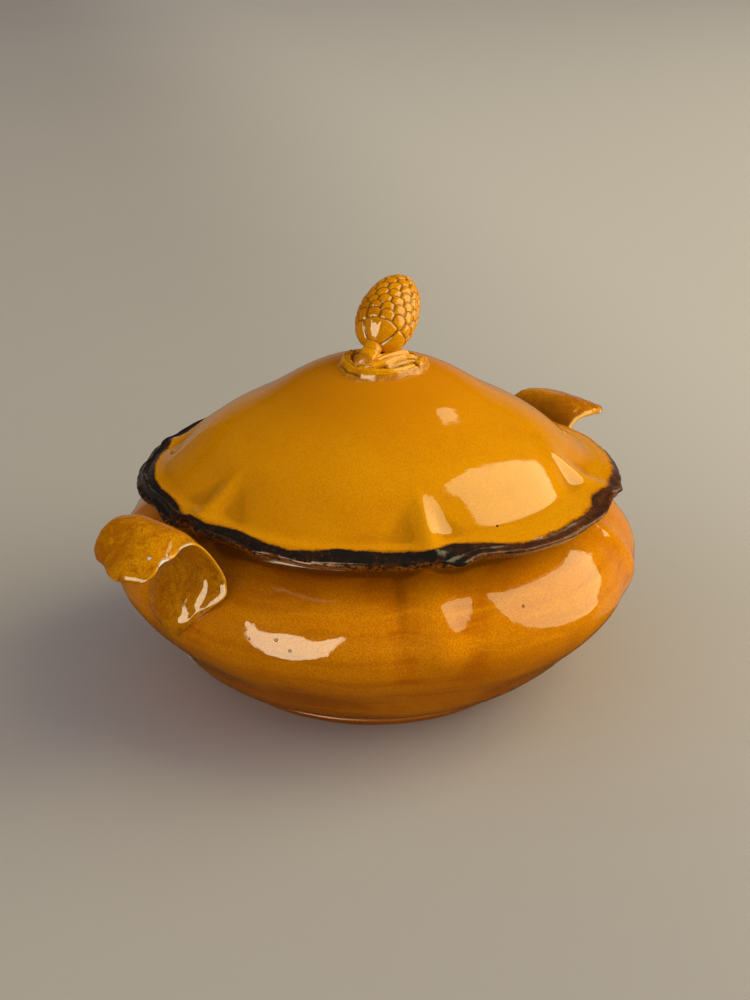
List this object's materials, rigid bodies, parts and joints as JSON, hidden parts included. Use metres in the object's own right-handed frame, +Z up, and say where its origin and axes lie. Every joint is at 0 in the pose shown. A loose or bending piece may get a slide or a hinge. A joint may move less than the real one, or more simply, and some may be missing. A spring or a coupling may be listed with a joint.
{
  "type": "lidded soup tureen",
  "caption": "Round lobed earthenware soup tureen with a lift-off domed lid, dark scalloped lid edge, pine-cone knob leaning back on a twig, and curled leaf handles.",
  "frame": {"origin": "centre of the bowl's foot, on the surface it stands on", "axes": "+Z up; X through the two leaf handles, with the near left handle of the picture on -X"},
  "size_m": [0.3029, 0.24, 0.1791],
  "materials": {
    "amber_glaze": "glossy honey-amber lead-type glaze over earthenware",
    "foot_glaze": "thin brown glaze wiped at the standing edge",
    "handle_glaze": "glossy amber glaze, worn and chipped along the free edge",
    "lid_glaze": "glossy honey-amber glaze",
    "dark_rim_glaze": "glossy manganese-brown glaze, rust-coloured where thin",
    "finial_glaze": "glossy amber glaze, brown where it pools in the grooves"
  },
  "bodies": {
    "bowl": {"tureen_bowl": "amber_glaze", "foot_ring": "foot_glaze", "leaf_handle_left": "handle_glaze", "leaf_handle_right": "handle_glaze"},
    "lid": {"lid_dome": "lid_glaze", "lid_rim": "dark_rim_glaze", "lid_flange": "lid_glaze", "finial_base": "finial_glaze", "finial_stem": "finial_glaze", "pine_cone": "finial_glaze"}
  },
  "joints": [
    {"name": "lid_lift", "type": "slide", "parent": "bowl", "child": "lid", "axis": [0, 0, 1], "range_m": [0, 0.12]}
  ]
}
